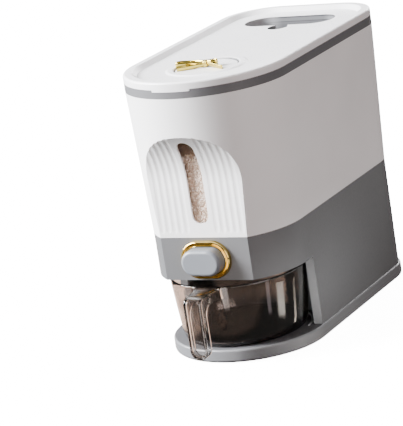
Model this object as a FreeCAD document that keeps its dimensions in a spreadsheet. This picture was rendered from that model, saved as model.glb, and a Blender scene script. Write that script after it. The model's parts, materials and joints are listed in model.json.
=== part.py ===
import FreeCAD, Part
import math
import os
import re

import Sketcher

# Free-standing rice dispenser: a D-plan hopper over a grey gate housing, with
# a round measuring cup that pulls out of the bay like a drawer.
# Millimetres. +Z up, front of the dispenser towards -Y, X = 0 is the mirror
# plane. Origin: centre of the bounding box in plan, on the standing surface.

os.makedirs("parts", exist_ok=True)
doc = FreeCAD.newDocument("rice_dispenser")
V = FreeCAD.Vector
ROT = FreeCAD.Rotation

# ------------------------------------------------------------------ sizes
SIZES = [
    # plan outline at the lid: semicircular front, straight sides, round rear
    ("half", 85.0, "half width of the lid and collar"),
    ("arcy", -72.5, "centre of the semicircular front"),
    ("rear", 179.7, "rear face at the lid"),
    ("rcor", 51.7, "rear corner radius at the lid"),
    ("draft", 6.0, "how far the hopper narrows on each side down to the seam"),
    ("wall", 2.6, "shell wall"),
    # levels
    ("foot", 1.5, "underside of the base plate"),
    ("deck", 15.5, "top of the base plate"),
    ("bandlow", 86.5, "lower edge of the front band, top of the cup bay"),
    ("seam", 130.6, "seam between housing and hopper"),
    ("collow", 277.4, "lower edge of the collar"),
    ("coltop", 286.3, "top of the collar, where the lid rests"),
    ("lidtop", 293.8, "crest of the lid rim"),
    ("panel", 289.5, "top of the lid panel"),
    # front facet
    ("facet", -135.0, "plane of the front facet"),
    ("facettop", 187.5, "height where the facet starts to curve forward"),
    ("facetrad", 72.0, "radius of the curve into the round front"),
    # base plate
    ("platehalf", 81.0, "half width of the base plate"),
    ("platearc", -62.5, "centre of the plate's round front"),
    ("platerear", 175.6, "rear of the plate"),
    # bay and cup
    ("bayfront", -60.9, "front edge of the housing side walls"),
    ("jamb", 3.0, "thickness of the wall ends beside the bay"),
    ("cupy", -74.5, "centre of the cup and of the bay"),
    ("bayrad", 71.0, "radius of the bay"),
    ("cuptop", 81.5, "rim of the cup"),
    ("cupbot", 15.6, "underside of the cup"),
    ("cuprtop", 69.5, "cup radius at the rim"),
    ("cuprbot", 63.3, "cup radius at the bottom"),
    ("cupwall", 2.2, "cup wall"),
    # button and gate
    ("btnz", 108.0, "height of the button axis"),
    ("btnface", -151.4, "front face of the button"),
    ("btnw", 42.6, "button width"),
    ("btnh", 26.4, "button height"),
    ("travel", 8.0, "button travel"),
    ("pivy", -106.0, "gate pivot"),
    ("pivz", 93.0, "gate pivot"),
    ("pinr", 1.5, "gate pin radius"),
    ("runfit", 0.05, "radial running clearance"),
    ("armface", 3.5, "front face of the gate arm ahead of the pivot"),
    # outlet
    ("outx", 26.0, "half width of the outlet"),
    ("outfront", -90.0, "front of the outlet"),
    ("outrear", -60.0, "rear of the outlet"),
    ("throat", 106.0, "bottom of the funnel"),
    ("funtop", 258.0, "top of the funnel"),
    # window
    ("winhalf", 9.1, "half width of the window slot"),
    ("winlow", 144.5, "lower end of the window"),
    ("winhigh", 231.5, "upper end of the window"),
    # cap in the lid
    ("capy", -75.5, "centre of the round cap"),
    ("caprad", 32.0, "cap radius"),
    ("captop", 288.9, "top of the cap"),
    ("capgap", 286.1, "underside of the cap disc"),
    ("capseat", 284.4, "seat of the basket flange"),
    # finger well
    ("welly", 120.5, "centre of the finger well"),
    ("wellhalf", 51.0, "half length of the finger well"),
    ("wellrad", 21.0, "end radius of the finger well"),
    ("welldeep", 14.0, "depth of the finger well"),
]
sheet = doc.addObject("Spreadsheet::Sheet", "Dims")
for row, (alias, value, note) in enumerate(SIZES, 1):
    sheet.set("A%d" % row, alias)
    sheet.set("B%d" % row, repr(value))
    sheet.setAlias("B%d" % row, alias)
    sheet.set("C%d" % row, note)
doc.recompute()
NAMES = sorted((n for n, _, _ in SIZES), key=len, reverse=True)
WORD = re.compile(r"\b(" + "|".join(NAMES) + r")\b")


def ex(text):
    """Expression text with every size name pointing at its cell."""
    return WORD.sub(lambda m: "Dims." + m.group(1), str(text))


def num(text):
    value = sheet.evalExpression(ex(text))
    return float(getattr(value, "Value", value))


def bind(obj, **props):
    for name, text in props.items():
        obj.setExpression(name.replace("__", "."), ex(text))
    return obj


# ------------------------------------------------------- sketch helpers
def new_body(name):
    return doc.addObject("PartDesign::Body", name)


def plane(body, role):
    for f in body.Origin.OriginFeatures:
        if f.Role == role:
            return f
    raise RuntimeError(role)


def sketch(body, role, off="0", tag="profile"):
    sk = body.newObject("Sketcher::SketchObject", body.Name + "_" + tag)
    sk.AttachmentSupport = [(plane(body, role), "")]
    sk.MapMode = "FlatFace"
    if str(off) != "0":
        sk.setExpression("AttachmentOffset.Base.z", ex(off))
    return sk


def pin_point(sk, geo, pos, x, y):
    """Holds one sketch point at the stated coordinates."""
    for kind, text, axis in (("DistanceX", x, -2), ("DistanceY", y, -1)):
        v = num(text)
        if abs(v) < 1e-9:
            sk.addConstraint(Sketcher.Constraint("PointOnObject", geo, pos, axis))
        else:
            c = sk.addConstraint(Sketcher.Constraint(kind, -1, 1, geo, pos, v))
            sk.setExpression("Constraints[%d]" % c, ex(text))


def polygon(sk, pts):
    xy = [(num(a), num(b)) for a, b in pts]
    n = len(pts)
    ids = []
    for i in range(n):
        p, q = xy[i], xy[(i + 1) % n]
        ids.append(sk.addGeometry(Part.LineSegment(V(p[0], p[1], 0), V(q[0], q[1], 0)), False))
    for i in range(n):
        sk.addConstraint(Sketcher.Constraint("Coincident", ids[i], 2, ids[(i + 1) % n], 1))
    for i in range(n):
        pin_point(sk, ids[i], 1, pts[i][0], pts[i][1])
    return ids


def circle(sk, x, y, r):
    c = sk.addGeometry(Part.Circle(V(num(x), num(y), 0), V(0, 0, 1), num(r)), False)
    pin_point(sk, c, 3, x, y)
    k = sk.addConstraint(Sketcher.Constraint("Radius", c, num(r)))
    sk.setExpression("Constraints[%d]" % k, ex(r))
    return c


def dring(sk, half, arcy, rear, rcor):
    """Closed D outline: semicircular front, straight sides, round rear corners."""
    h, a, r, c = num(half), num(arcy), num(rear), num(rcor)
    up = V(0, 0, 1)
    g = []
    g.append(sk.addGeometry(Part.ArcOfCircle(Part.Circle(V(0, a, 0), up, h), math.pi, 2 * math.pi), False))
    g.append(sk.addGeometry(Part.LineSegment(V(h, a, 0), V(h, r - c, 0)), False))
    g.append(sk.addGeometry(Part.ArcOfCircle(Part.Circle(V(h - c, r - c, 0), up, c), 0, math.pi / 2), False))
    g.append(sk.addGeometry(Part.LineSegment(V(h - c, r, 0), V(c - h, r, 0)), False))
    g.append(sk.addGeometry(Part.ArcOfCircle(Part.Circle(V(c - h, r - c, 0), up, c), math.pi / 2, math.pi), False))
    g.append(sk.addGeometry(Part.LineSegment(V(-h, r - c, 0), V(-h, a, 0)), False))
    K = Sketcher.Constraint
    # ends join with tangency all the way round
    for i in range(6):
        sk.addConstraint(K("Tangent", g[i], 2, g[(i + 1) % 6], 1))
    sk.addConstraint(K("Vertical", g[1]))
    sk.addConstraint(K("Horizontal", g[3]))
    sk.addConstraint(K("PointOnObject", g[0], 3, -2))
    k = sk.addConstraint(K("DistanceY", -1, 1, g[0], 3, a))
    sk.setExpression("Constraints[%d]" % k, ex(arcy))
    k = sk.addConstraint(K("Radius", g[0], h))
    sk.setExpression("Constraints[%d]" % k, ex(half))
    k = sk.addConstraint(K("Radius", g[2], c))
    sk.setExpression("Constraints[%d]" % k, ex(rcor))
    sk.addConstraint(K("Equal", g[2], g[4]))
    k = sk.addConstraint(K("DistanceY", -1, 1, g[3], 1, r))
    sk.setExpression("Constraints[%d]" % k, ex(rear))
    return g


def slot(sk, cx, cy, reach, rad, along="x"):
    """Stadium: two half circles of radius rad whose ends lie reach from the middle."""
    x, y, w, r = num(cx), num(cy), num(reach), num(rad)
    up = V(0, 0, 1)
    K = Sketcher.Constraint
    d = w - r
    if along == "x":
        a = sk.addGeometry(Part.ArcOfCircle(Part.Circle(V(x + d, y, 0), up, r), -math.pi / 2, math.pi / 2), False)
        b = sk.addGeometry(Part.LineSegment(V(x + d, y + r, 0), V(x - d, y + r, 0)), False)
        c = sk.addGeometry(Part.ArcOfCircle(Part.Circle(V(x - d, y, 0), up, r), math.pi / 2, 3 * math.pi / 2), False)
        e = sk.addGeometry(Part.LineSegment(V(x - d, y - r, 0), V(x + d, y - r, 0)), False)
        sk.addConstraint(K("Horizontal", b))
        ends = ((a, "(%s)+(%s)-(%s)" % (cx, reach, rad), cy), (c, "(%s)-(%s)+(%s)" % (cx, reach, rad), cy))
    else:
        a = sk.addGeometry(Part.ArcOfCircle(Part.Circle(V(x, y + d, 0), up, r), 0, math.pi), False)
        b = sk.addGeometry(Part.LineSegment(V(x - r, y + d, 0), V(x - r, y - d, 0)), False)
        c = sk.addGeometry(Part.ArcOfCircle(Part.Circle(V(x, y - d, 0), up, r), math.pi, 2 * math.pi), False)
        e = sk.addGeometry(Part.LineSegment(V(x + r, y - d, 0), V(x + r, y + d, 0)), False)
        sk.addConstraint(K("Vertical", b))
        ends = ((a, cx, "(%s)+(%s)-(%s)" % (cy, reach, rad)), (c, cx, "(%s)-(%s)+(%s)" % (cy, reach, rad)))
    for i, j in ((a, b), (b, c), (c, e), (e, a)):
        sk.addConstraint(K("Tangent", i, 2, j, 1))
    k = sk.addConstraint(K("Radius", a, r))
    sk.setExpression("Constraints[%d]" % k, ex(rad))
    for geo, ox, oy in ends:
        for kind, text, axis in (("DistanceX", ox, -2), ("DistanceY", oy, -1)):
            v = num(text)
            if geo == c and ((along == "x") == (kind == "DistanceY")):
                continue        # held by the tangency to the other end
            if abs(v) < 1e-9:
                sk.addConstraint(K("PointOnObject", geo, 3, axis))
            else:
                k = sk.addConstraint(K(kind, -1, 1, geo, 3, v))
                sk.setExpression("Constraints[%d]" % k, ex(text))
    return a


def pad(body, sk, length, taper=None, down=False, tag="pad"):
    f = body.newObject("PartDesign::Pad", body.Name + "_" + tag)
    f.Profile = sk
    f.setExpression("Length", ex(length))
    if down:
        f.Reversed = True
    if taper is not None:
        f.setExpression("TaperAngle", ex(taper))
    body.Tip = f
    sk.Visibility = False
    return f


def pocket(body, sk, length, up=False, taper=None, tag="pocket"):
    """Cuts length deep, below the sketch plane unless up is set."""
    before = None
    doc.recompute()
    before = body.Shape.Volume
    f = body.newObject("PartDesign::Pocket", body.Name + "_" + tag)
    f.Profile = sk
    f.setExpression("Length", ex(length))
    if up:
        f.Reversed = True
    if taper is not None:
        f.setExpression("TaperAngle", ex(taper))
    body.Tip = f
    doc.recompute()
    if not body.Shape.Volume < before - 1e-3:
        raise RuntimeError("pocket %s cuts nothing" % f.Name)
    return f


def revolve(body, sk, axis="V_Axis", tag="turn"):
    f = body.newObject("PartDesign::Revolution", body.Name + "_" + tag)
    f.Profile = sk
    f.ReferenceAxis = (sk, [axis])
    f.Angle = 360.0
    body.Tip = f
    return f


def dprism(name, half, arcy, rear, rcor, low, high, taper=None, from_top=False):
    b = new_body(name)
    sk = sketch(b, "XY_Plane", high if from_top else low)
    dring(sk, half, arcy, rear, rcor)
    pad(b, sk, "(%s)-(%s)" % (high, low), taper, down=from_top)
    return b


def xprism(name, pts, reach):
    """Prism along X, symmetric about the mirror plane, from a Y-Z outline."""
    b = new_body(name)
    sk = sketch(b, "YZ_Plane", "-(%s)" % reach)
    polygon(sk, pts)
    pad(b, sk, "2*(%s)" % reach)
    return b


def yprism(name, pts, front, back):
    """Prism along Y from an X-Z outline."""
    b = new_body(name)
    sk = sketch(b, "XZ_Plane", "-(%s)" % back)
    polygon(sk, pts)
    pad(b, sk, "(%s)-(%s)" % (back, front))
    return b


def box(name, x0, x1, y0, y1, z0, z1):
    o = doc.addObject("Part::Box", name)
    return bind(o, Length="(%s)-(%s)" % (x1, x0), Width="(%s)-(%s)" % (y1, y0), Height="(%s)-(%s)" % (z1, z0),
                Placement__Base__x=x0, Placement__Base__y=y0, Placement__Base__z=z0)


def cyl(name, rad, x, y, z, length, along="z"):
    o = doc.addObject("Part::Cylinder", name)
    turn = {"z": ROT(), "y": ROT(V(1, 0, 0), -90), "x": ROT(V(0, 1, 0), 90)}[along]
    o.Placement = FreeCAD.Placement(V(0, 0, 0), turn)
    return bind(o, Radius=rad, Height=length, Placement__Base__x=x, Placement__Base__y=y, Placement__Base__z=z)


def cut(name, base, *tools):
    out = base
    for i, t in enumerate(tools):
        o = doc.addObject("Part::Cut", "%s_cut%d" % (name, i + 1))
        o.Base = out
        o.Tool = t
        out = o
    return out


def fuse(name, *parts):
    o = doc.addObject("Part::MultiFuse", name + "_fuse")
    o.Shapes = list(parts)
    return o


def common(name, *parts):
    o = doc.addObject("Part::MultiCommon", name + "_common")
    o.Shapes = list(parts)
    return o


NODES = {}


def node(label, obj):
    obj.Label = label
    NODES[label] = obj
    return obj


def feature(label, shape):
    o = doc.addObject("Part::Feature", label + "_solid")
    place = shape.Placement
    o.Shape = shape
    o.Placement = place
    return o


# ================================================================ housing
PLAN = ("half-draft", "arcy", "rear-draft", "rcor-draft")       # outline below the seam


def inset(d):
    """The lower plan outline moved inwards by d."""
    return ("half-draft-(%s)" % d, "arcy", "rear-draft-(%s)" % d, "rcor-draft-(%s)" % d)


def facet_tool(name, depth, reach="95"):
    """Space in front of the facet: a plane that curves forward at its top.
    depth moves the surface into the body."""
    b = new_body(name)
    sk = sketch(b, "YZ_Plane", "-(%s)" % reach)
    y, z, r, d = num("facet"), num("facettop"), num("facetrad"), num(depth)
    rr = r + d
    a0 = math.radians(78.0)
    K = Sketcher.Constraint
    cy_, cz_ = y - r, z
    ex_, ez_ = cy_ + rr * math.cos(a0), cz_ + rr * math.sin(a0)
    low = 60.0
    g0 = sk.addGeometry(Part.LineSegment(V(y + d, low, 0), V(y + d, z, 0)), False)
    g1 = sk.addGeometry(Part.ArcOfCircle(Part.Circle(V(cy_, cz_, 0), V(0, 0, 1), rr), 0.0, a0), False)
    g2 = sk.addGeometry(Part.LineSegment(V(ex_, ez_, 0), V(cy_ - 30, ez_, 0)), False)
    g3 = sk.addGeometry(Part.LineSegment(V(cy_ - 30, ez_, 0), V(cy_ - 30, low, 0)), False)
    g4 = sk.addGeometry(Part.LineSegment(V(cy_ - 30, low, 0), V(y + d, low, 0)), False)
    sk.addConstraint(K("Tangent", g0, 2, g1, 1))
    for i, j in ((g1, g2), (g2, g3), (g3, g4), (g4, g0)):
        sk.addConstraint(K("Coincident", i, 2, j, 1))
    sk.addConstraint(K("Vertical", g0))
    sk.addConstraint(K("Horizontal", g2))
    sk.addConstraint(K("Vertical", g3))
    sk.addConstraint(K("Horizontal", g4))
    for geo, pos, kind, text in ((g1, 3, "DistanceX", "facet-facetrad"), (g1, 3, "DistanceY", "facettop"),
                                 (g4, 1, "DistanceX", "facet-facetrad-30"), (g4, 1, "DistanceY", str(low)),
                                 (g1, 2, "DistanceX", repr(ex_))):
        k = sk.addConstraint(K(kind, -1, 1, geo, pos, num(text)))
        if text[0].isalpha():
            sk.setExpression("Constraints[%d]" % k, ex(text))
    k = sk.addConstraint(K("Radius", g1, rr))
    sk.setExpression("Constraints[%d]" % k, ex("facetrad+(%s)" % depth))
    pad(b, sk, "2*(%s)" % reach)
    return b


# --- base plate: the wide foot that carries housing and cup
b = new_body("plate_blank")
sk = sketch(b, "XY_Plane", "foot")
dring(sk, "platehalf", "platearc", "platerear", "rcor-4")
pad(b, sk, "deck-foot")
doc.recompute()


def edges_at(obj, z, tol=1e-3):
    out = []
    for i, e in enumerate(obj.Shape.Edges, 1):
        bb = e.BoundBox
        if abs(bb.ZMin - z) < tol and abs(bb.ZMax - z) < tol:
            out.append("Edge%d" % i)
    return out


def dress(body, kind, size, names, tag):
    tip = body.Tip
    f = body.newObject(kind, body.Name + "_" + tag)
    f.Base = (tip, names)
    if kind == "PartDesign::Fillet":
        f.setExpression("Radius", ex(size))
    else:
        f.setExpression("Size", ex(size))
    body.Tip = f
    doc.recompute()
    return f


dress(b, "PartDesign::Fillet", "2.2", edges_at(b, num("deck")), "top_edge")
dress(b, "PartDesign::Fillet", "3.5", edges_at(b, num("foot")), "low_edge")
FEET = (("52", "-92"), ("-52", "-92"), ("56", "142"), ("-56", "142"))
SCREWS = (("72.5", "-40"), ("-72.5", "-40"), ("72.5", "112"), ("-72.5", "112"))
sk = sketch(b, "XY_Plane", "foot", "feet")
for x, y in FEET:
    circle(sk, x, y, "9.2")
pocket(b, sk, "1.6", up=True, tag="feet_cut")
sk = sketch(b, "XY_Plane", "foot", "heads")
for x, y in SCREWS:
    circle(sk, x, y, "4")
pocket(b, sk, "5", up=True, tag="heads_cut")
sk = sketch(b, "XY_Plane", "foot", "shanks")
for x, y in SCREWS:
    circle(sk, x, y, "1.7")
pocket(b, sk, "deck-foot+1", up=True, tag="shanks_cut")
plate_body = b
# hollow underneath, with low ribs and with pads where the feet and screws go
plate_void = dprism("plate_void", "platehalf-6", "platearc", "platerear-6", "rcor-10", "foot-1", "deck-3")
ribs = [box("plate_rib_long%d" % i, "%s-1" % x, "%s+1" % x, "-150", "180", "deck-5.5", "deck-2.5")
        for i, x in enumerate(("0", "-27", "27", "-54", "54"))]
ribs += [box("plate_rib_cross%d" % i, "-80", "80", "%s-1" % y, "%s+1" % y, "deck-5.5", "deck-2.5")
         for i, y in enumerate(("-112", "-78", "-44", "-10", "24", "58", "92", "126", "152"))]
pads_ = [cyl("plate_pad%d" % i, "11.5", x, y, "foot", "deck-foot-2.5") for i, (x, y) in enumerate(FEET)]
pads_ += [cyl("plate_post%d" % i, "6", x, y, "foot", "deck-foot-2.5") for i, (x, y) in enumerate(SCREWS)]
plate_void = cut("plate_void", plate_void, fuse("plate_ribs", *(ribs + pads_)))
plate_body = cut("plate_body", plate_body, plate_void)
# low ridge round the back of the cup's seat
rb = new_body("seat_ridge")
sk = sketch(rb, "XY_Plane", "deck-0.6")
circle(sk, "0", "cupy", "67.6")
circle(sk, "0", "cupy", "66.1")
pad(rb, sk, "1.8")
ridge = common("seat_ridge_rear", rb, box("seat_ridge_keep", "-70", "70", "cupy+8", "cupy+80", "deck-2", "deck+3"))
node("base_plate", fuse("base_plate", plate_body, ridge))

# --- housing shell: side and rear walls, front band over the bay, wall ends
outer = dprism("housing_outer", *PLAN, "deck", "seam")
hollow_top = dprism("housing_hollow_top", *inset("wall"), "bandlow+wall", "seam+1")
hollow_low = common("housing_hollow_low",
                    dprism("housing_hollow_plan", *inset("wall"), "deck-1", "bandlow+wall+1"),
                    box("housing_hollow_keep", "-90", "90", "bayfront+jamb", "200", "deck-1", "bandlow+wall+1"))
facet_out = facet_tool("housing_facet", "0")
facet_in = facet_tool("housing_facet_inner", "wall")
hollow = fuse("housing_hollow", cut("housing_hollow_front", hollow_top, facet_in), hollow_low)
bay = cyl("housing_bay", "bayrad", "0", "cupy", "deck-1", "bandlow-deck+1")
front = box("housing_front", "-100", "100", "-200", "bayfront", "deck-1", "bandlow")
outlet_hole = box("housing_outlet_hole", "-outx-4", "outx+4", "pivy-5", "outrear+2", "bandlow-1", "bandlow+wall+1")
btn_hole_body = new_body("housing_button_hole")
sk = sketch(btn_hole_body, "XZ_Plane", "-facet-4")
slot(sk, "0", "btnz", "btnw/2+0.8", "btnh/2+0.8")
pad(btn_hole_body, sk, "8", tag="hole")
bosses = [cyl("housing_boss%d" % i, "5", x, y, "deck", "26") for i, (x, y) in enumerate(SCREWS)]
boss_set = common("housing_bosses", fuse("housing_boss_group", *bosses),
                  dprism("housing_boss_plan", *inset("0.5"), "deck", "deck+30"))
walls = cut("housing_walls", outer, facet_out, hollow, bay, front, outlet_hole, btn_hole_body)
boss_holes = fuse("housing_boss_holes", *[cyl("housing_boss_hole%d" % i, "1.35", x, y, "deck-1", "22")
                                          for i, (x, y) in enumerate(SCREWS)])
# the bosses keep clear of the bay's round wall
boss_clear = cyl("housing_boss_clear", "bayrad+2.6", "0", "cupy", "deck-1", "40")
node("housing_shell", fuse("housing_shell", walls, cut("housing_boss", boss_set, boss_holes, boss_clear)))

# --- bay liner: round rear wall and ceiling of the cup bay
lin = new_body("liner_blank")
sk = sketch(lin, "XY_Plane", "deck")
circle(sk, "0", "cupy", "bayrad+2.4")
pad(lin, sk, "bandlow-deck+2.4")
sk = sketch(lin, "XY_Plane", "deck", "inside")
circle(sk, "0", "cupy", "bayrad")
pocket(lin, sk, "bandlow-deck", up=True, tag="inside_cut")
node("bay_liner", cut("bay_liner", lin,
                      box("liner_front", "-90", "90", "-200", "bayfront+jamb", "deck-1", "bandlow+5"),
                      box("liner_outlet", "-outx-4", "outx+4", "-80", "outrear+2", "bandlow-1", "bandlow+4")))

# --- seam frame: locating ring inside both shells
sf_out = cut("seam_frame_outer",
             dprism("seam_frame_plan", *inset("wall+0.3"), "127.2", "136"), facet_tool("seam_frame_facet", "wall+0.3"))
sf_in = cut("seam_frame_inner",
            dprism("seam_frame_hole", *inset("wall+2.6"), "126", "140"), facet_tool("seam_frame_facet_in", "wall+2.6"))
node("seam_frame", cut("seam_frame", sf_out, sf_in))

# ================================================================= hopper
DRAFT = "atan(draft/(collow-seam))"


def hopper_solid(name, d, low, high):
    """Drafted D solid, inset by d from the hopper's outer face, between two levels."""
    rise = "(collow-(%s))/(collow-seam)*draft" % high
    return dprism(name, "half-(%s)-%s" % (d, rise), "arcy", "rear-(%s)-%s" % (d, rise),
                  "rcor-(%s)-%s" % (d, rise), low, high, taper="-" + DRAFT, from_top=True)


h_out = cut("hopper_outer_faceted", hopper_solid("hopper_outer", "0", "seam", "collow"), facet_tool("hopper_facet", "0"))
h_in = cut("hopper_cavity", hopper_solid("hopper_inner", "wall", "seam-1", "collow+1"),
           facet_tool("hopper_facet_inner", "wall"))

# window slot through the facet
win = new_body("window_slot")
sk = sketch(win, "XZ_Plane", "-facet-30")
slot(sk, "0", "(winlow+winhigh)/2", "(winhigh-winlow)/2", "winhalf", along="z")
pad(win, sk, "80")


def flute_paths():
    """Tapered flutes beside the window: round-bottomed grooves that run down
    the facet's plane and over its curve, and run out to nothing at the foot."""
    rg, deep = 12.0, 0.32
    y0 = num("facet") - (rg - deep)
    cy_, cz_ = num("facet") - num("facetrad"), num("facettop")
    rr = num("facetrad") - (rg - deep)
    foot, rad = 139.0, 20.0
    solids = []
    for k in range(5):
        x = 16.6 + 7.0 * k
        for s in (-1, 1):
            a = math.radians(40.0)
            p_end = V(s * x, y0 - rad * (1 - math.cos(a)), foot - rad * math.sin(a))
            p_mid = V(s * x, y0 - rad * (1 - math.cos(a / 2)), foot - rad * math.sin(a / 2))
            p0 = V(s * x, y0, foot)
            p1 = V(s * x, y0, cz_)
            t = math.radians(62.0)
            q_mid = V(s * x, cy_ + rr * math.cos(t / 2), cz_ + rr * math.sin(t / 2))
            q_end = V(s * x, cy_ + rr * math.cos(t), cz_ + rr * math.sin(t))
            wire = Part.Wire([Part.Arc(p_end, p_mid, p0).toShape(), Part.LineSegment(p0, p1).toShape(),
                              Part.Arc(p1, q_mid, q_end).toShape()])
            tangent = V(0, math.sin(a), math.cos(a))
            section = Part.Wire([Part.Circle(p_end, tangent, rg).toShape()])
            solids.append(wire.makePipeShell([section], True, True))
    return solids


flutes = feature("flute_cutters", Part.makeCompound(flute_paths()))
node("hopper_shell", cut("hopper_shell", h_out, h_in, win, flutes))

# window lens: fills the slot, flange behind the wall
lens_core = new_body("lens_core")
sk = sketch(lens_core, "XZ_Plane", "-facet-30")
slot(sk, "0", "(winlow+winhigh)/2", "(winhigh-winlow)/2-0.15", "winhalf-0.15", along="z")
pad(lens_core, sk, "80")
lens_lip = new_body("lens_lip")
sk = sketch(lens_lip, "XZ_Plane", "-facet-30")
slot(sk, "0", "(winlow+winhigh)/2", "(winhigh-winlow)/2+3", "winhalf+3", along="z")
pad(lens_lip, sk, "80")
back = facet_tool("lens_back", "wall+1.6")
node("window_lens", fuse("window_lens",
                         cut("lens_core", common("lens_core", lens_core, back), facet_tool("lens_front", "1.4")),
                         cut("lens_lip", common("lens_lip", lens_lip, facet_tool("lens_back2", "wall+1.6")),
                             facet_tool("lens_wall", "wall"))))

# funnel: four ramps that lead the grain to the outlet
RUN = "156"


def ramp_block(name, drop, low):
    yz = xprism(name + "_long", [("outfront", "throat-(%s)" % drop), ("outrear", "throat-(%s)" % drop),
                                 ("outrear+%s/0.6" % RUN, "throat+%s-(%s)" % (RUN, drop)),
                                 ("outfront-%s*1.05" % RUN, "throat+%s-(%s)" % (RUN, drop))], "100")
    xz = yprism(name + "_wide", [("-outx", "throat-(%s)" % drop), ("outx", "throat-(%s)" % drop),
                                 ("outx+%s*0.732" % RUN, "throat+%s-(%s)" % (RUN, drop)),
                                 ("-outx-%s*0.732" % RUN, "throat+%s-(%s)" % (RUN, drop))], "-200", "220")
    return common(name, yz, xz, box(name + "_keep", "-100", "100", "-200", "220", low, "funtop"))


fun_clear = cut("funnel_room", hopper_solid("funnel_plan", "wall+0.3", "throat", "funtop"),
                facet_tool("funnel_facet", "wall+1.9"))
node("hopper_funnel", cut("hopper_funnel", common("funnel_body", ramp_block("funnel_outer", "3", "throat"), fun_clear),
                          ramp_block("funnel_inner", "0", "throat-1")))

# outlet chute with the ears that carry the gate pin
ch_out = box("chute_tube", "-outx-2", "outx+2", "outfront-2", "outrear+1.9", "pivz-3.2", "throat")
ch_top = box("chute_top", "-outx-5", "outx+5", "outfront-2", "outrear+4", "throat-2", "throat")
ears = [box("chute_ear%d" % i, a, c, "pivy-5", "outrear", "bandlow+wall", "throat-4")
        for i, (a, c) in enumerate((("outx+1.9", "outx+5"), ("-outx-5", "-outx-1.9")))]
feet_ = [box("chute_foot%d" % i, a, c, "-104", "-66", "bandlow+wall", "bandlow+wall+2.2")
         for i, (a, c) in enumerate((("outx+4", "outx+13"), ("-outx-13", "-outx-4")))]
CH_SCREWS = (("35", "-96"), ("-35", "-96"), ("35", "-74"), ("-35", "-74"))
ch_hole = box("chute_hole", "-outx", "outx", "outfront", "outrear", "pivz-5", "throat+1")
ch_pin = cyl("chute_pin_hole", "pinr+0.02", "-40", "pivy", "pivz", "80", along="x")
ch_scr = fuse("chute_screw_holes", *[cyl("chute_screw_hole%d" % i, "1.3", x, y, "bandlow", "6")
                                     for i, (x, y) in enumerate(CH_SCREWS)])
node("outlet_chute", cut("outlet_chute", fuse("chute_blank", ch_out, ch_top, *(ears + feet_)), ch_hole, ch_pin, ch_scr))

# collar ring between hopper and lid
col_out = dprism("collar_outer", "half", "arcy", "rear", "rcor", "collow", "coltop")
col_in = dprism("collar_inner", "half-6.4", "arcy", "rear-6.4", "rcor-6.4", "collow-20", "coltop+1")
col_spig = dprism("collar_spigot", "half-3.3", "arcy", "rear-3.3", "rcor-3.3", "collow-9", "collow+0.5")
col_spin = dprism("collar_spigot_in", "half-5.4", "arcy", "rear-5.4", "rcor-5.4", "collow-10", "collow")
tab_gap = box("collar_tab_gap", "-21.2", "21.2", "-170", "-149.4", "coltop-2.3", "coltop+1")
node("collar_ring", cut("collar_ring", fuse("collar_blank", col_out, col_spig), col_spin, col_in, tab_gap))

# ================================================================= button
cap_b = new_body("button_blank")
sk = sketch(cap_b, "XZ_Plane", "-(facet+2.9)")
slot(sk, "0", "btnz", "btnw/2", "btnh/2")
pad(cap_b, sk, "facet+2.9-btnface")
doc.recompute()


def edges_y(obj, y, tol=1e-3):
    return ["Edge%d" % i for i, e in enumerate(obj.Shape.Edges, 1)
            if abs(e.BoundBox.YMin - y) < tol and abs(e.BoundBox.YMax - y) < tol]


dress(cap_b, "PartDesign::Fillet", "3.4", edges_y(cap_b, num("btnface")), "front_edge")
sk = sketch(cap_b, "XZ_Plane", "-(facet+2.9)", "hollow")
slot(sk, "0", "btnz", "btnw/2-2", "btnh/2-2")
pocket(cap_b, sk, "facet+2.9-btnface-3", up=True, tag="hollow_cut")
lip_b = new_body("button_lip")
sk = sketch(lip_b, "XZ_Plane", "-(facet+4.6)")
slot(sk, "0", "btnz", "btnw/2+2", "btnh/2+2")
pad(lip_b, sk, "1.7")
sk = sketch(lip_b, "XZ_Plane", "-(facet+4.6)", "hollow")
slot(sk, "0", "btnz", "btnw/2-2", "btnh/2-2")
pocket(lip_b, sk, "3", up=True, tag="hollow_cut")
node("button_cap", fuse("button_cap", cap_b, lip_b))

STEM_FRONT = "btnface+3"
NOSE = "pivy-armface-0.25-3"
stem = cyl("stem_rod", "3", "0", STEM_FRONT, "btnz", "(%s)-(%s)" % (NOSE, STEM_FRONT), along="y")
stem_flange = cyl("stem_flange", "8", "0", "btnface+8", "btnz", "1.5", along="y")
stem_root = cyl("stem_root", "5", "0", STEM_FRONT, "btnz", "3", along="y")
nose = doc.addObject("Part::Sphere", "stem_nose")
bind(nose, Radius="3", Placement__Base__y=NOSE, Placement__Base__z="btnz")
node("button_stem", fuse("button_stem", stem, stem_flange, stem_root, nose))

guide = new_body("guide_blank")
sk = sketch(guide, "XZ_Plane", "-(facet+wall+16.4)")
slot(sk, "0", "btnz", "btnw/2+4.6", "btnh/2+4.6")
pad(guide, sk, "16.4")
guide_flange = new_body("guide_flange")
sk = sketch(guide_flange, "XZ_Plane", "-(facet+wall+2)")
slot(sk, "0", "btnz", "btnw/2+8", "btnh/2+4.8")
pad(guide_flange, sk, "2")
guide_hole = new_body("guide_hole")
sk = sketch(guide_hole, "XZ_Plane", "-(facet+wall+14.4)")
slot(sk, "0", "btnz", "btnw/2+2.8", "btnh/2+2.8")
pad(guide_hole, sk, "20")
guide_bore = cyl("guide_bore", "3+runfit", "0", "facet+wall+10", "btnz", "10", along="y")
node("button_guide", cut("button_guide", fuse("guide_body", guide, guide_flange), guide_hole, guide_bore))

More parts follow.
